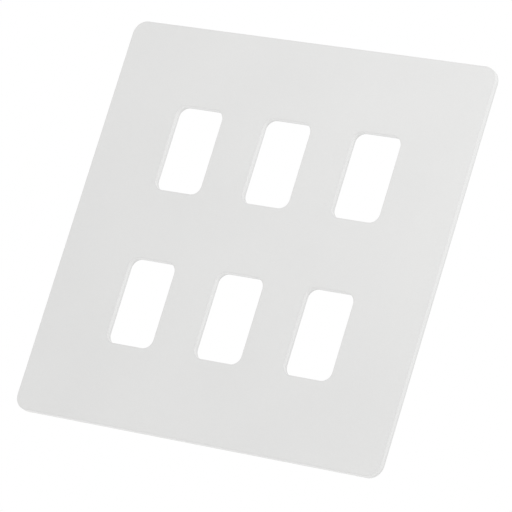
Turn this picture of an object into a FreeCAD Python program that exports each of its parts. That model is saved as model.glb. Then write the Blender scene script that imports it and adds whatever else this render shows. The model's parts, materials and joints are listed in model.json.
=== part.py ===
import FreeCAD, Part
import math
import os
import Sketcher

# The plate stands as it is fixed to a wall: +X right, +Z up, front towards -Y.
# The origin is the centre of the plate's back face.

# Sizes in millimetres and degrees.
SIZES = {
    "plate_width": 146.0,
    "plate_height": 146.0,
    "plate_thickness": 2.4,
    "plate_corner_radius": 5.0,
    "front_edge_radius": 0.2,
    "window_columns": 3,
    "window_rows": 2,
    "column_pitch": 35.7,
    "row_pitch": 56.7,
    "window_width": 18.8,
    "window_height": 31.4,
    "window_corner_radius": 3.6,
    "clip_side_inset": 13.0,
    "clip_end_inset": 28.0,
    "strip_thickness": 0.5,
    "strip_width": 8.0,
    "strip_corner_radius": 1.0,
    "bend_inner_radius": 0.6,
    "foot_length": 8.0,
    "leg_height": 3.2,
    "ramp_length": 1.8,
    "ramp_angle": 35.0,
    "lead_in_length": 2.4,
    "lead_in_angle": 25.0,
}
TOLERANCE = 1e-6

doc = FreeCAD.newDocument("grid_switch_plate")
sheet = doc.addObject("Spreadsheet::Sheet", "Sizes")
for row, (alias, size) in enumerate(SIZES.items(), start=1):
    sheet.set(f"A{row}", alias.replace("_", " "))
    sheet.set(f"B{row}", str(size))
    sheet.setAlias(f"B{row}", alias)
doc.recompute()


def new_body(label):
    body = doc.addObject("PartDesign::Body", label)
    body.Label = label
    return body


def origin_plane(body, role):
    return next(item for item in body.Origin.OriginFeatures if item.Role == role)


def new_sketch(body, name, role, offset=None):
    """A sketch on one of the body's own origin planes, moved along the plane's normal by an expression."""
    sketch = body.newObject("Sketcher::SketchObject", name)
    sketch.AttachmentSupport = (origin_plane(body, role), [""])
    sketch.MapMode = "FlatFace"
    if offset:
        sketch.setExpression("AttachmentOffset.Base.z", offset)
    return sketch


def dimension(sketch, name, expression, *constraint):
    """A named dimension that takes its value from the sheet."""
    index = sketch.addConstraint(Sketcher.Constraint(*constraint))
    sketch.renameConstraint(index, name)
    sketch.setExpression(f"Constraints.{name}", expression)


def line(sketch, start, end):
    return sketch.addGeometry(Part.LineSegment(FreeCAD.Vector(*start), FreeCAD.Vector(*end)), False)


def arc(sketch, centre, radius, start, end):
    circle = Part.Circle(FreeCAD.Vector(*centre), FreeCAD.Vector(0, 0, 1), radius)
    return sketch.addGeometry(Part.ArcOfCircle(circle, math.radians(start), math.radians(end)), False)


def rounded_rectangle(sketch, name, wide, high, radius, centre=(0.0, 0.0)):
    """A rectangle with rounded corners, sized by three aliases. Returns the point at its centre."""
    x, z = centre
    half_w = SIZES[wide] / 2
    half_h = SIZES[high] / 2
    r = SIZES[radius]
    bottom = line(sketch, (x - half_w + r, z - half_h, 0), (x + half_w - r, z - half_h, 0))
    right = line(sketch, (x + half_w, z - half_h + r, 0), (x + half_w, z + half_h - r, 0))
    top = line(sketch, (x + half_w - r, z + half_h, 0), (x - half_w + r, z + half_h, 0))
    left = line(sketch, (x - half_w, z + half_h - r, 0), (x - half_w, z - half_h + r, 0))
    corners = [
        arc(sketch, (x + half_w - r, z - half_h + r, 0), r, 270, 360),
        arc(sketch, (x + half_w - r, z + half_h - r, 0), r, 0, 90),
        arc(sketch, (x - half_w + r, z + half_h - r, 0), r, 90, 180),
        arc(sketch, (x - half_w + r, z - half_h + r, 0), r, 180, 270),
    ]
    middle = sketch.addGeometry(Part.Point(FreeCAD.Vector(x, z, 0)), True)
    sides = [bottom, right, top, left]
    for index, corner in enumerate(corners):
        sketch.addConstraint(Sketcher.Constraint("Tangent", sides[index], 2, corner, 1))
        sketch.addConstraint(Sketcher.Constraint("Tangent", corner, 2, sides[(index + 1) % 4], 1))
    for side in (bottom, top):
        sketch.addConstraint(Sketcher.Constraint("Horizontal", side))
    for side in (right, left):
        sketch.addConstraint(Sketcher.Constraint("Vertical", side))
    for corner in corners[1:]:
        sketch.addConstraint(Sketcher.Constraint("Equal", corners[0], corner))
    sketch.addConstraint(Sketcher.Constraint("Symmetric", corners[0], 3, corners[2], 3, middle, 1))
    dimension(sketch, f"{name}_radius", f"Sizes.{radius}", "Radius", corners[0], r)
    dimension(sketch, f"{name}_width", f"Sizes.{wide}", "DistanceX", left, 1, right, 1, 2 * half_w)
    dimension(sketch, f"{name}_height", f"Sizes.{high}", "DistanceY", bottom, 1, top, 1, 2 * half_h)
    return middle


# Face plate: one blank with rounded corners, pierced by a grid of windows.
plate = new_body("face_plate")

outline = new_sketch(plate, "PlateOutline", "XZ_Plane")
centre_point = rounded_rectangle(outline, "plate", "plate_width", "plate_height", "plate_corner_radius")
outline.addConstraint(Sketcher.Constraint("Coincident", centre_point, 1, -1, 1))
blank = plate.newObject("PartDesign::Pad", "PlateBlank")
blank.Profile = outline
blank.setExpression("Length", "Sizes.plate_thickness")
doc.recompute()

first_x = -SIZES["column_pitch"] * (SIZES["window_columns"] - 1) / 2
first_z = -SIZES["row_pitch"] * (SIZES["window_rows"] - 1) / 2
opening = new_sketch(plate, "WindowOutline", "XZ_Plane")
centre_point = rounded_rectangle(
    opening, "window", "window_width", "window_height", "window_corner_radius", (first_x, first_z)
)
dimension(opening, "first_column", "Sizes.column_pitch * (Sizes.window_columns - 1) / 2",
          "DistanceX", centre_point, 1, -1, 1, -first_x)
dimension(opening, "first_row", "Sizes.row_pitch * (Sizes.window_rows - 1) / 2",
          "DistanceY", centre_point, 1, -1, 1, -first_z)
window = plate.newObject("PartDesign::Pocket", "Window")
window.Profile = opening
window.Type = "ThroughAll"
window.Reversed = True
doc.recompute()

grid = plate.newObject("PartDesign::MultiTransform", "WindowGrid")
grid.Originals = [window]
columns = plate.newObject("PartDesign::LinearPattern", "WindowColumns")
columns.Direction = (opening, ["H_Axis"])
columns.setExpression("Length", "Sizes.column_pitch * (Sizes.window_columns - 1)")
columns.setExpression("Occurrences", "Sizes.window_columns")
rows = plate.newObject("PartDesign::LinearPattern", "WindowRows")
rows.Direction = (opening, ["V_Axis"])
rows.setExpression("Length", "Sizes.row_pitch * (Sizes.window_rows - 1)")
rows.setExpression("Occurrences", "Sizes.window_rows")
grid.Transformations = [columns, rows]
plate.Tip = grid
doc.recompute()

# Every edge of the front face is softened, round the rim and round the windows.
front = -SIZES["plate_thickness"]
front_edges = [
    f"Edge{number}"
    for number, edge in enumerate(grid.Shape.Edges, start=1)
    if abs(edge.BoundBox.YMax - front) < TOLERANCE
]
softened = plate.newObject("PartDesign::Fillet", "FrontEdges")
softened.Base = (grid, front_edges)
softened.setExpression("Radius", "Sizes.front_edge_radius")
plate.Tip = softened
doc.recompute()

# Snap clips: bent spring strips on the back, two along each side of the plate.
clips = new_body("snap_clips")
clips.AllowCompound = True

strip = SIZES["strip_thickness"]
inner = SIZES["bend_inner_radius"]
outer = inner + strip
leg_x = SIZES["plate_width"] / 2 - SIZES["clip_side_inset"]
foot_x = leg_x + SIZES["foot_length"]
clip_z = SIZES["plate_height"] / 2 - SIZES["clip_end_inset"]
ramp = math.radians(SIZES["ramp_angle"])
lead = math.radians(SIZES["lead_in_angle"])

# The bends, from the foot on the plate up the leg, in over the nose and out along the lead-in.
ramp_start = (leg_x - inner + inner * math.cos(ramp), SIZES["leg_height"] + inner * math.sin(ramp))
ramp_end = (
    ramp_start[0] - SIZES["ramp_length"] * math.sin(ramp),
    ramp_start[1] + SIZES["ramp_length"] * math.cos(ramp),
)
nose = (ramp_end[0] + outer * math.cos(ramp), ramp_end[1] + outer * math.sin(ramp))
lead_start = (nose[0] - outer * math.cos(lead), nose[1] + outer * math.sin(lead))
lead_end = (
    lead_start[0] + SIZES["lead_in_length"] * math.sin(lead),
    lead_start[1] + SIZES["lead_in_length"] * math.cos(lead),
)

path = new_sketch(clips, "ClipPath", "XY_Plane", "Sizes.plate_height / 2 - Sizes.clip_end_inset")
foot_line = line(path, (foot_x, 0, 0), (leg_x + outer, 0, 0))
foot_bend = arc(path, (leg_x + outer, outer, 0), outer, 180, 270)
leg_line = line(path, (leg_x, outer, 0), (leg_x, SIZES["leg_height"], 0))
ramp_bend = arc(path, (leg_x - inner, SIZES["leg_height"], 0), inner, 0, SIZES["ramp_angle"])
ramp_line = line(path, (*ramp_start, 0), (*ramp_end, 0))
nose_bend = arc(path, (*nose, 0), outer, 180 - SIZES["lead_in_angle"], 180 + SIZES["ramp_angle"])
lead_line = line(path, (*lead_start, 0), (*lead_end, 0))
for first, first_end, second, second_end in (
    (foot_line, 2, foot_bend, 2),
    (foot_bend, 1, leg_line, 1),
    (leg_line, 2, ramp_bend, 1),
    (ramp_bend, 2, ramp_line, 1),
    (ramp_line, 2, nose_bend, 2),
    (nose_bend, 1, lead_line, 1),
):
    path.addConstraint(Sketcher.Constraint("Tangent", first, first_end, second, second_end))
path.addConstraint(Sketcher.Constraint("PointOnObject", foot_line, 1, -1))
path.addConstraint(Sketcher.Constraint("Horizontal", foot_line))
path.addConstraint(Sketcher.Constraint("Vertical", leg_line))
path.addConstraint(Sketcher.Constraint("Equal", foot_bend, nose_bend))
leg_place = "Sizes.plate_width / 2 - Sizes.clip_side_inset"
dimension(path, "outer_bend", "Sizes.bend_inner_radius + Sizes.strip_thickness", "Radius", foot_bend, outer)
dimension(path, "inner_bend", "Sizes.bend_inner_radius", "Radius", ramp_bend, inner)
dimension(path, "leg_place", leg_place, "DistanceX", -1, 1, leg_line, 1, leg_x)
dimension(path, "foot_place", f"{leg_place} + Sizes.foot_length", "DistanceX", -1, 1, foot_line, 1, foot_x)
dimension(path, "leg_top", "Sizes.leg_height", "DistanceY", -1, 1, leg_line, 2, SIZES["leg_height"])
dimension(path, "ramp_run", "Sizes.ramp_length", "Distance", ramp_line, SIZES["ramp_length"])
dimension(path, "ramp_lean", "Sizes.ramp_angle", "Angle", leg_line, 1, ramp_line, 1, ramp)
dimension(path, "lead_run", "Sizes.lead_in_length", "Distance", lead_line, SIZES["lead_in_length"])
dimension(path, "lead_lean", "Sizes.lead_in_angle", "Angle", lead_line, 1, leg_line, 1, lead)

section = new_sketch(clips, "StripSection", "YZ_Plane", f"{leg_place} + Sizes.foot_length")
half = SIZES["strip_width"] / 2
corners = [(0, clip_z - half, 0), (strip, clip_z - half, 0), (strip, clip_z + half, 0), (0, clip_z + half, 0)]
sides = [line(section, corners[index], corners[(index + 1) % 4]) for index in range(4)]
for index in range(4):
    section.addConstraint(Sketcher.Constraint("Coincident", sides[index], 2, sides[(index + 1) % 4], 1))
for index in (0, 2):
    section.addConstraint(Sketcher.Constraint("Horizontal", sides[index]))
    section.addConstraint(Sketcher.Constraint("Vertical", sides[index + 1]))
section.addConstraint(Sketcher.Constraint("PointOnObject", sides[0], 1, -2))
dimension(section, "strip_thick", "Sizes.strip_thickness", "DistanceX", sides[0], 1, sides[0], 2, strip)
dimension(section, "strip_wide", "Sizes.strip_width", "DistanceY", sides[1], 1, sides[1], 2, 2 * half)
dimension(section, "strip_low", "Sizes.plate_height / 2 - Sizes.clip_end_inset - Sizes.strip_width / 2",
          "DistanceY", -1, 1, sides[0], 1, clip_z - half)
doc.recompute()

bent = clips.newObject("PartDesign::AdditivePipe", "BentStrip")
bent.Profile = section
bent.Spine = (path, [f"Edge{number}" for number in range(1, path.GeometryCount + 1)])
clips.Tip = bent
doc.recompute()

quarters = clips.newObject("PartDesign::MultiTransform", "ClipPlaces")
quarters.Originals = [bent]
across = clips.newObject("PartDesign::Mirrored", "ClipsAcross")
across.MirrorPlane = (origin_plane(clips, "YZ_Plane"), [""])
below = clips.newObject("PartDesign::Mirrored", "ClipsBelow")
below.MirrorPlane = (origin_plane(clips, "XY_Plane"), [""])
quarters.Transformations = [across, below]
clips.Tip = quarters
doc.recompute()

# The strip's cut ends have rounded corners: the short edges that cross its thickness.
cut_edges = [
    f"Edge{number}"
    for number, edge in enumerate(quarters.Shape.Edges, start=1)
    if edge.BoundBox.ZLength < TOLERANCE and abs(edge.Length - strip) < TOLERANCE
]
rounded = clips.newObject("PartDesign::Fillet", "StripCorners")
rounded.Base = (quarters, cut_edges)
rounded.setExpression("Radius", "Sizes.strip_corner_radius")
clips.Tip = rounded
doc.recompute()

# Checks, then one file for each sub-part.
for item in doc.Objects:
    if {"Invalid", "Error"} & set(item.State):
        raise RuntimeError(f"{item.Name} did not build: {item.State}")
for sketch in (outline, opening, path, section):
    if not sketch.FullyConstrained:
        raise RuntimeError(f"{sketch.Name} is not fully constrained")
os.makedirs("parts", exist_ok=True)
for body in (plate, clips):
    if body.Shape.isNull() or not body.Shape.isValid():
        raise RuntimeError(f"{body.Label} has no valid shape")
    body.Shape.exportStep(f"parts/{body.Label}.step")
    print(body.Label, len(body.Shape.Solids), round(body.Shape.Volume, 3), body.Shape.BoundBox)
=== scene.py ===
import json
import math

import bpy
from mathutils import Matrix, Vector


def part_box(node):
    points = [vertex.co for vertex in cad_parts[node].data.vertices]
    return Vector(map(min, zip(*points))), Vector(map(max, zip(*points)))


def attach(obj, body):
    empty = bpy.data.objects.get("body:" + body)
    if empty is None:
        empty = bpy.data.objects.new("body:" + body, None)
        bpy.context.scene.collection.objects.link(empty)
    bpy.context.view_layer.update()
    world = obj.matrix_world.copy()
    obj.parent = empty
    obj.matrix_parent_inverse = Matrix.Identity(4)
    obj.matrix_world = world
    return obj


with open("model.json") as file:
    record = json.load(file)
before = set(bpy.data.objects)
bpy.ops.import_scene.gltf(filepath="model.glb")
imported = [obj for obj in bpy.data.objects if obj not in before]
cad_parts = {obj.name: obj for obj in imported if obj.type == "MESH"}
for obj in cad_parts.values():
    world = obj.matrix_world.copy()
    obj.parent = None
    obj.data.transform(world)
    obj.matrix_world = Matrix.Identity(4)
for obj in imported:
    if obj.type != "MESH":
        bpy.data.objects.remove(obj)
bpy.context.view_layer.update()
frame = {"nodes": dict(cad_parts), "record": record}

MM = 0.001

# The photograph's frame, and the camera that was solved from the plate's straight edges.
IMAGE_PX = 512
FOCAL_PX = 4023.9
SENSOR_MM = 36.0
VIEW_REACH = 50.0
EYE = Vector((703.38, -1140.47, -306.19)) * MM
LOOK = Vector((-0.51118, 0.83091, 0.21971))
SIDE = Vector((0.84788, 0.44568, 0.28719))

# The plate and its windows, from the frame. The record's boxes stand a little inside the windows' walls.
PLATE_LOW, PLATE_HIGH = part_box("face_plate")
PLATE_CORNER = 5.0 * MM
WINDOW_CORNER = 3.6 * MM
BOX_INSET = 0.6 * MM
OPENINGS = frame["record"]["physics"]["openings"]
WINDOW_BOXES = [[Vector(corner) for corner in opening["box_m"]] for opening in OPENINGS]
FIRST_LOW, FIRST_HIGH = WINDOW_BOXES[0]
WINDOW_HALF = (FIRST_HIGH - FIRST_LOW) / 2 + Vector((BOX_INSET, 0.0, BOX_INSET))
COLUMN_PITCH = max((low.x + high.x) / 2 for low, high in WINDOW_BOXES)
OUTER_COLUMN = 1.0
ROW_PLACE = max((low.z + high.z) / 2 for low, high in WINDOW_BOXES)

# The clips' strip, and the marks of the welds that hold the clips' feet.
CLIPS_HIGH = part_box("snap_clips")[1]
STRIP_THICKNESS = 0.5 * MM
STRIP_WIDTH = 8.0 * MM
WELD_RADIUS = 1.15 * MM
WELD_SIDES = 40
WELD_RISE = 0.07 * MM
WELD_RIM = 0.22 * MM
WELD_DENT = 0.05 * MM
WELD_SOFT = 0.055 * MM
WELD_SOFT_STEPS = 3
WELD_SMOOTH_ANGLE = math.radians(50.0)
WELD_FROM_END = 3.3 * MM
WELD_SPACING = 3.8 * MM
WELD_X = CLIPS_HIGH.x - WELD_FROM_END
CLIP_Z = CLIPS_HIGH.z - STRIP_WIDTH / 2
UPRIGHT = 0.9
SLACK = 0.005 * MM

# The powder coat, with painted shade along its edges. A pair of lengths is where a change begins and ends,
# from an edge or in depth.
# The coat is darker within these lengths of the front edges and towards the back of the walls: a thinner
# coat there, and painted shade of the edges.
EDGE_SHADE_LINE = (0.1 * MM, 0.6 * MM)
EDGE_THINNING_AND_SHADE = 0.4
FRONT_EDGE_SHADE_DEPTH = (PLATE_LOW.y + 0.2 * MM, PLATE_LOW.y + 0.5 * MM)
BACK_RIM_SHADE = (-1.2 * MM, -0.4 * MM)
BACK_SKIN = (-0.06 * MM, -0.02 * MM)
UNEVEN_THINNING_AND_SHADE = (0.7, 1.0)
COAT_GREY, COAT_WHITE = (0.786, 0.786, 0.780), (0.812, 0.812, 0.805)
# The darker coat at the edges: thinner coat, and painted shade of the edges.
COAT_THIN_AND_EDGE_SHADE = (0.710, 0.710, 0.703)
COAT_ROUGHNESS = (0.38, 0.46)

# The dry mist of coat on the back: its cover beside an edge and further in, and what its grain adds.
MIST_REACH = (0.5 * MM, 5.0 * MM)
MIST_COVER = (0.3, 0.1)
MIST_GRAIN = 0.7
MIST_GREY, MIST_WHITE = (0.675, 0.675, 0.669), (0.772, 0.772, 0.765)
MIST_ROUGHNESS = (0.66, 0.5)

# The clips' steel, bare, and with the heat of a weld.
STEEL_DARK, STEEL_BRIGHT = (0.40, 0.40, 0.40), (0.56, 0.56, 0.55)
STEEL_ROUGHNESS = (0.24, 0.4)
STRAW_TINT = (0.44, 0.36, 0.25)
STRAW_STRENGTH = 0.8
HEAT_REACH = 2.0 * MM
WELD_BLUE, WELD_STRAW = (0.24, 0.24, 0.26), (0.42, 0.37, 0.29)
WELD_ROUGHNESS = (0.36, 0.55)

# Noises: waves to a metre, detail and roughness. The steel's lines get their waves from the stretch.
COAT_CLOUD = (24.0, 2.0, 0.5)
COAT_SPECK = (2600.0, 2.0, 0.5)
COAT_PEEL = (850.0, 3.0, 0.55)
COAT_SPRAY = (1300.0, 4.0, 0.7)
STEEL_CLOUD = (400.0, 3.0, 0.5)
STEEL_LINES = (1.0, 4.0, 0.6)
LINE_STRETCH = (15.0, 15.0, 7000.0)
WELD_CLOUD = (900.0, 3.0, 0.5)
WELD_GRAIN = (5000.0, 4.0, 0.6)
FLOOR_CLOUD = (3.0, 3.0, 0.5)

# The two ranges that hold most of what a noise gives.
NARROW, WIDE = (0.35, 0.65), (0.3, 0.7)

# Reliefs: strength and depth.
COAT_RELIEF = (0.5, 0.02 * MM)
STEEL_RELIEF = (0.2, 0.01 * MM)
WELD_RELIEF = (0.4, 0.02 * MM)

# The studio, in metres and watts.
WHITE = (1.0, 1.0, 1.0, 1.0)
SURROUND_FILL = 0.731
SURROUND_LEAN = Vector((0.28, 0.0, 0.0))
LAMP_PLACE = Vector((0.30, -0.28, 0.28))
LAMP_SIZE = 0.2
LAMP_WATTS = 0.5
FLOOR_DROP = 1.6
FLOOR_SIZE = 30.0
FLOOR_GLOW = 0.33
FLOOR_ROUGHNESS = 0.8
FLOOR_GREY, FLOOR_WHITE = (0.83, 0.83, 0.83), (0.87, 0.87, 0.87)

# A Mix node's sockets share their names, so these are places: the two that it mixes, and the result.
MIX_COLOUR, MIX_VALUE = (6, 7, 2), (2, 3, 0)


# Node helpers

def fresh_tree(name):
    """A new material with an empty node tree."""
    material = bpy.data.materials.new(name)
    material.use_nodes = True
    material.node_tree.nodes.clear()
    return material, material.node_tree


def add(tree, kind, values=None, **settings):
    """A node of a kind, with its own settings and with constant values on its input sockets."""
    node = tree.nodes.new(kind)
    for key, value in settings.items():
        setattr(node, key, value)
    for key, value in (values or {}).items():
        node.inputs[key].default_value = value
    return node


def feed(tree, socket, value):
    """Gives a socket a number or a colour that is written out, or a link from a node."""
    if isinstance(value, bpy.types.NodeSocket):
        tree.links.new(value, socket)
    else:
        socket.default_value = value


def own_place(tree):
    """A piece's own coordinates."""
    return add(tree, "ShaderNodeTexCoord").outputs["Object"]


def split(tree, coords):
    """Coordinates one by one."""
    node = add(tree, "ShaderNodeSeparateXYZ")
    tree.links.new(coords, node.inputs["Vector"])
    return [node.outputs[axis] for axis in "XYZ"]


def noise(tree, coords, waves, detail, roughness):
    node = add(tree, "ShaderNodeTexNoise", {"Scale": waves, "Detail": detail, "Roughness": roughness})
    tree.links.new(coords, node.inputs["Vector"])
    return node.outputs["Fac"]


def spread(tree, value, between, out_low, out_high):
    """Carries a value from one range to another, held inside the second."""
    low, high = between
    node = add(tree, "ShaderNodeMapRange", {
        "From Min": low, "From Max": high, "To Min": out_low, "To Max": out_high,
    })
    tree.links.new(value, node.inputs["Value"])
    return node.outputs["Result"]


def maths(tree, operation, first, second=0.0):
    node = add(tree, "ShaderNodeMath", operation=operation)
    feed(tree, node.inputs[0], first)
    feed(tree, node.inputs[1], second)
    return node.outputs["Value"]


def blend_colour(tree, factor, first, second):
    """A colour that goes from the first to the second."""
    into_first, into_second, result = MIX_COLOUR
    node = add(tree, "ShaderNodeMix", data_type="RGBA")
    tree.links.new(factor, node.inputs["Factor"])
    for socket, colour in ((into_first, first), (into_second, second)):
        feed(tree, node.inputs[socket], (*colour, 1.0) if isinstance(colour, tuple) else colour)
    return node.outputs[result]


def blend_value(tree, factor, first, second):
    """A number that goes from the first to the second."""
    into_first, into_second, result = MIX_VALUE
    node = add(tree, "ShaderNodeMix", data_type="FLOAT")
    tree.links.new(factor, node.inputs["Factor"])
    feed(tree, node.inputs[into_first], first)
    feed(tree, node.inputs[into_second], second)
    return node.outputs[result]


def bumped(tree, height, strength, depth):
    """The surface's normal with a fine relief on it."""
    node = add(tree, "ShaderNodeBump", {"Strength": strength, "Distance": depth})
    tree.links.new(height, node.inputs["Height"])
    return node.outputs["Normal"]


def finish_material(tree, values, **inputs):
    """The material's surface: a shader with its constant values and its worked-out inputs."""
    shader = add(tree, "ShaderNodeBsdfPrincipled", values)
    for name, value in inputs.items():
        tree.links.new(value, shader.inputs[name.replace("_", " ")])
    out = add(tree, "ShaderNodeOutputMaterial")
    tree.links.new(shader.outputs["BSDF"], out.inputs["Surface"])


def dress(piece, material):
    """Gives a piece one material."""
    piece.data.materials.clear()
    piece.data.materials.append(material)


# Finishes

def distance(tree, along, across):
    """The length of a line with these two parts at right angles."""
    squares = [maths(tree, "POWER", part, 2.0) for part in (along, across)]
    return maths(tree, "SQRT", maths(tree, "ADD", *squares))


def past_rounded_box(tree, x, z, half_x, half_z, radius):
    """How far a point lies outside a rectangle with rounded corners. It is negative inside."""
    over_x = maths(tree, "SUBTRACT", maths(tree, "ABSOLUTE", x), half_x - radius)
    over_z = maths(tree, "SUBTRACT", maths(tree, "ABSOLUTE", z), half_z - radius)
    outside = distance(tree, maths(tree, "MAXIMUM", over_x), maths(tree, "MAXIMUM", over_z))
    inside = maths(tree, "MINIMUM", maths(tree, "MAXIMUM", over_x, over_z))
    return maths(tree, "SUBTRACT", maths(tree, "ADD", outside, inside), radius)


def edge_distance(tree, x, z):
    """How far a point on the plate lies from the nearest edge of its rim or of a window."""
    rim = past_rounded_box(tree, x, z, PLATE_HIGH.x, PLATE_HIGH.z, PLATE_CORNER)
    column = maths(tree, "ROUND", maths(tree, "DIVIDE", x, COLUMN_PITCH))
    column = maths(tree, "MAXIMUM", maths(tree, "MINIMUM", column, OUTER_COLUMN), -OUTER_COLUMN)
    from_column = maths(tree, "SUBTRACT", x, maths(tree, "MULTIPLY", column, COLUMN_PITCH))
    from_row = maths(tree, "SUBTRACT", maths(tree, "ABSOLUTE", z), ROW_PLACE)
    window = past_rounded_box(tree, from_column, from_row, WINDOW_HALF.x, WINDOW_HALF.z, WINDOW_CORNER)
    return maths(tree, "MINIMUM", maths(tree, "MULTIPLY", rim, -1.0), window)


def front_coat_with_edge_shade(tree, cloud, speck, spray, from_edge, y):
    """The coat's colour on the front, darker along the edges, and on the walls, darker towards the back:
    the coat thins there, and the darkening is also painted shade of the edges. Cloud and speck give half of
    its tone each."""
    near_edge_shade = spread(tree, from_edge, EDGE_SHADE_LINE, EDGE_THINNING_AND_SHADE, 0.0)
    front_edge_shade = maths(tree, "MULTIPLY", near_edge_shade, spread(tree, y, FRONT_EDGE_SHADE_DEPTH, 1.0, 0.0))
    # Darker along the front edges and towards the walls' backs: thinner coat and painted shade.
    thin_and_shade = maths(tree, "MAXIMUM", front_edge_shade, spread(tree, y, BACK_RIM_SHADE, 0.0, 1.0))
    uneven_thin_and_shade = maths(tree, "MULTIPLY", thin_and_shade, spread(tree, spray, NARROW, *UNEVEN_THINNING_AND_SHADE))
    tone = maths(tree, "ADD", spread(tree, cloud, NARROW, 0.0, 0.5), spread(tree, speck, NARROW, 0.0, 0.5))
    return blend_colour(tree, uneven_thin_and_shade, blend_colour(tree, tone, COAT_GREY, COAT_WHITE), COAT_THIN_AND_EDGE_SHADE)


def back_mist(tree, spray, from_edge):
    """The coat's colour on the back: a dry mist that lies thicker along the edges."""
    cover = spread(tree, from_edge, MIST_REACH, *MIST_COVER)
    sprayed = maths(tree, "ADD", cover, spread(tree, spray, NARROW, 0.0, MIST_GRAIN))
    return blend_colour(tree, sprayed, MIST_GREY, MIST_WHITE)


def white_powder_coat():
    """Satin white coat with fine orange peel on the front, and a dry, grainy mist on the back."""
    material, tree = fresh_tree("white_powder_coat")
    coords = own_place(tree)
    x, y, z = split(tree, coords)
    cloud = noise(tree, coords, *COAT_CLOUD)
    speck = noise(tree, coords, *COAT_SPECK)
    peel = noise(tree, coords, *COAT_PEEL)
    spray = noise(tree, coords, *COAT_SPRAY)

    on_back = spread(tree, y, BACK_SKIN, 0.0, 1.0)
    from_edge = edge_distance(tree, x, z)
    # The front's colour carries painted shade along the edges.
    front = front_coat_with_edge_shade(tree, cloud, speck, spray, from_edge, y)
    colour = blend_colour(tree, on_back, front, back_mist(tree, spray, from_edge))
    satin = spread(tree, speck, WIDE, *COAT_ROUGHNESS)
    rough = blend_value(tree, on_back, satin, spread(tree, spray, NARROW, *MIST_ROUGHNESS))
    relief = bumped(tree, blend_value(tree, on_back, peel, spray), *COAT_RELIEF)
    finish_material(tree, {}, Base_Color=colour, Roughness=rough, Normal=relief)
    return material


def weld_distance(tree, x, z):
    """How far a point on a clip's foot lies from the middle of the nearest weld."""
    along_x = maths(tree, "SUBTRACT", maths(tree, "ABSOLUTE", x), WELD_X)
    from_clip = maths(tree, "ABSOLUTE", maths(tree, "SUBTRACT", maths(tree, "ABSOLUTE", z), CLIP_Z))
    return distance(tree, along_x, maths(tree, "SUBTRACT", from_clip, WELD_SPACING / 2))


def rolled_spring_steel():
    """Bare rolled strip: fine lines that run along the strip, and a straw tint round the welds."""
    material, tree = fresh_tree("rolled_spring_steel")
    coords = own_place(tree)
    x, y, z = split(tree, coords)
    along = add(tree, "ShaderNodeMapping", {"Scale": LINE_STRETCH})
    tree.links.new(coords, along.inputs["Vector"])
    lines = noise(tree, along.outputs["Vector"], *STEEL_LINES)
    cloud = noise(tree, coords, *STEEL_CLOUD)

    steel = blend_colour(tree, spread(tree, lines, WIDE, 0.0, 1.0), STEEL_DARK, STEEL_BRIGHT)
    near_weld = spread(tree, weld_distance(tree, x, z), (WELD_RADIUS, HEAT_REACH), STRAW_STRENGTH, 0.0)
    on_foot = spread(tree, y, (STRIP_THICKNESS, 2 * STRIP_THICKNESS), 1.0, 0.0)
    colour = blend_colour(tree, maths(tree, "MULTIPLY", near_weld, on_foot), steel, STRAW_TINT)
    rough = spread(tree, cloud, WIDE, *STEEL_ROUGHNESS)
    relief = bumped(tree, lines, *STEEL_RELIEF)
    finish_material(tree, {"Metallic": 1.0}, Base_Color=colour, Roughness=rough, Normal=relief)
    return material


def weld_heat_steel():
    """The strip's steel where a weld has heated it: straw to blue-grey, and rougher."""
    material, tree = fresh_tree("weld_heat_steel")
    coords = own_place(tree)
    cloud = noise(tree, coords, *WELD_CLOUD)
    grain = noise(tree, coords, *WELD_GRAIN)

    colour = blend_colour(tree, spread(tree, cloud, NARROW, 0.0, 1.0), WELD_BLUE, WELD_STRAW)
    rough = spread(tree, grain, WIDE, *WELD_ROUGHNESS)
    relief = bumped(tree, grain, *WELD_RELIEF)
    finish_material(tree, {"Metallic": 1.0}, Base_Color=colour, Roughness=rough, Normal=relief)
    return material


dress(frame["nodes"]["face_plate"], white_powder_coat())
dress(frame["nodes"]["snap_clips"], rolled_spring_steel())


# Weld marks: a shallow dent with a raised rim, two on the foot of each clip.

def select_in_edit(mode, items, wanted):
    """Selects the faces or edges that answer to a rule and nothing else, and stays in edit mode."""
    bpy.ops.object.mode_set(mode="EDIT")
    bpy.ops.mesh.select_mode(type=mode)
    bpy.ops.mesh.select_all(action="DESELECT")
    bpy.ops.object.mode_set(mode="OBJECT")
    for item in items():
        item.select = wanted(item)
    bpy.ops.object.mode_set(mode="EDIT")


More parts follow.
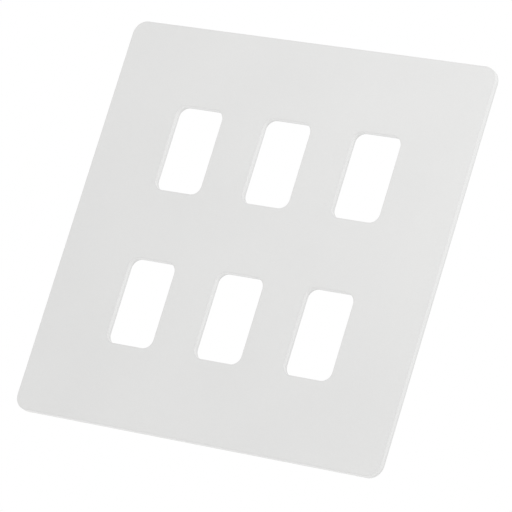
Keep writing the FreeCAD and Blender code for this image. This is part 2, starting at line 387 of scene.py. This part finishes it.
def weld_mark():
    """One mark at the origin, standing on the plane that it is welded to, towards +Y."""
    bpy.ops.object.select_all(action="DESELECT")
    bpy.ops.mesh.primitive_cylinder_add(
        vertices=WELD_SIDES, radius=WELD_RADIUS, depth=WELD_RISE, location=(0.0, WELD_RISE / 2, 0.0),
        rotation=(-math.pi / 2, 0.0, 0.0),
    )
    bpy.ops.object.transform_apply(location=True, rotation=True, scale=True)
    mark = bpy.context.object
    mesh = mark.data

    def on_top(face):
        return face.normal.y > UPRIGHT

    def round_the_rim(edge):
        """True for the two rings at the top of the rim, and not for the short edges that join them."""
        ends = [mesh.vertices[end].co for end in edge.vertices]
        reach = [math.hypot(end.x, end.z) for end in ends]
        return min(end.y for end in ends) > WELD_RISE - SLACK and max(reach) - min(reach) < SLACK

    select_in_edit("FACE", lambda: mesh.polygons, on_top)
    bpy.ops.mesh.inset(thickness=WELD_RIM)
    bpy.ops.mesh.inset(thickness=WELD_RIM, depth=-WELD_DENT)
    bpy.ops.mesh.inset(thickness=WELD_RIM)
    select_in_edit("EDGE", lambda: mesh.edges, round_the_rim)
    bpy.ops.mesh.bevel(offset=WELD_SOFT, segments=WELD_SOFT_STEPS, affect="EDGES")
    bpy.ops.mesh.select_all(action="SELECT")
    bpy.ops.mesh.normals_make_consistent(inside=False)
    bpy.ops.object.mode_set(mode="OBJECT")
    bpy.ops.object.shade_smooth_by_angle(angle=WELD_SMOOTH_ANGLE)
    return mark


def place_weld_marks(material):
    """Copies of one mark on the clips' feet, each with its own mesh."""
    pattern = weld_mark()
    places = [
        (side * WELD_X, end * CLIP_Z + step * WELD_SPACING / 2)
        for side in (-1, 1) for end in (-1, 1) for step in (-1, 1)
    ]
    for number, (x, z) in enumerate(places, start=1):
        bpy.ops.object.select_all(action="DESELECT")
        pattern.select_set(True)
        bpy.context.view_layer.objects.active = pattern
        bpy.ops.object.duplicate(linked=False)
        mark = bpy.context.object
        mark.name = f"weld_mark_{number}"
        bpy.ops.transform.translate(value=(x, STRIP_THICKNESS, z))
        bpy.ops.object.transform_apply(location=True, rotation=True, scale=True)
        dress(mark, material)
        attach(mark, "root")
    bpy.data.objects.remove(pattern)


place_weld_marks(weld_heat_steel())


# Studio: a white surround for the camera, a softer fill for the light, one soft lamp and a pale floor.

def white_surround():
    """White where it is seen. Its light on the plate is a soft fill that grows along the lean."""
    world = bpy.data.worlds.new("white_surround")
    bpy.context.scene.world = world
    world.use_nodes = True
    tree = world.node_tree
    tree.nodes.clear()
    rays = add(tree, "ShaderNodeLightPath").outputs
    seen = maths(tree, "ADD", rays["Is Camera Ray"], rays["Is Glossy Ray"])
    seen = maths(tree, "MINIMUM", maths(tree, "ADD", seen, rays["Is Transmission Ray"]), 1.0)

    towards = add(tree, "ShaderNodeVectorMath", {1: SURROUND_FILL * SURROUND_LEAN}, operation="DOT_PRODUCT")
    tree.links.new(add(tree, "ShaderNodeTexCoord").outputs["Generated"], towards.inputs[0])
    level = maths(tree, "ADD", towards.outputs["Value"], SURROUND_FILL)
    fill = add(tree, "ShaderNodeBackground", {"Color": WHITE})
    tree.links.new(level, fill.inputs["Strength"])

    white = add(tree, "ShaderNodeBackground", {"Color": WHITE, "Strength": 1.0})
    mix = add(tree, "ShaderNodeMixShader")
    for socket, value in enumerate((seen, fill.outputs["Background"], white.outputs["Background"])):
        tree.links.new(value, mix.inputs[socket])
    out = add(tree, "ShaderNodeOutputWorld")
    tree.links.new(mix.outputs["Shader"], out.inputs["Surface"])


def soft_lamp():
    """A square lamp in front of the plate, to the right and above, that faces it."""
    data = bpy.data.lights.new("key_right_top", "AREA")
    data.shape = "SQUARE"
    data.size = LAMP_SIZE
    data.energy = LAMP_WATTS
    lamp = bpy.data.objects.new("key_right_top", data)
    bpy.context.scene.collection.objects.link(lamp)
    lamp.location = LAMP_PLACE
    lamp.rotation_euler = (-LAMP_PLACE).to_track_quat("-Z", "Y").to_euler()


def pale_floor():
    """A floor well below the plate. Its own glow keeps it near white."""
    bpy.ops.object.select_all(action="DESELECT")
    bpy.ops.mesh.primitive_plane_add(size=FLOOR_SIZE, location=(0.0, 0.0, -FLOOR_DROP))
    floor = bpy.context.object
    floor.name = "studio_floor"
    material, tree = fresh_tree("pale_floor")
    cloud = noise(tree, own_place(tree), *FLOOR_CLOUD)
    glow = {"Roughness": FLOOR_ROUGHNESS, "Emission Color": WHITE, "Emission Strength": FLOOR_GLOW}
    finish_material(tree, glow, Base_Color=blend_colour(tree, cloud, FLOOR_GREY, FLOOR_WHITE))
    dress(floor, material)


def photo_camera():
    """The camera at the photograph's viewing angle."""
    data = bpy.data.cameras.new("photo_camera")
    data.sensor_fit = "HORIZONTAL"
    data.sensor_width = SENSOR_MM
    data.lens = FOCAL_PX * SENSOR_MM / IMAGE_PX
    data.clip_end = VIEW_REACH
    camera = bpy.data.objects.new("photo_camera", data)
    bpy.context.scene.collection.objects.link(camera)
    back = -LOOK.normalized()
    right = (SIDE - back * SIDE.dot(back)).normalized()
    turn = Matrix((right, back.cross(right), back)).transposed()
    camera.matrix_world = Matrix.Translation(EYE) @ turn.to_4x4()
    bpy.context.scene.camera = camera


white_surround()
soft_lamp()
pale_floor()
photo_camera()
bpy.context.scene.view_settings.view_transform = "Standard"
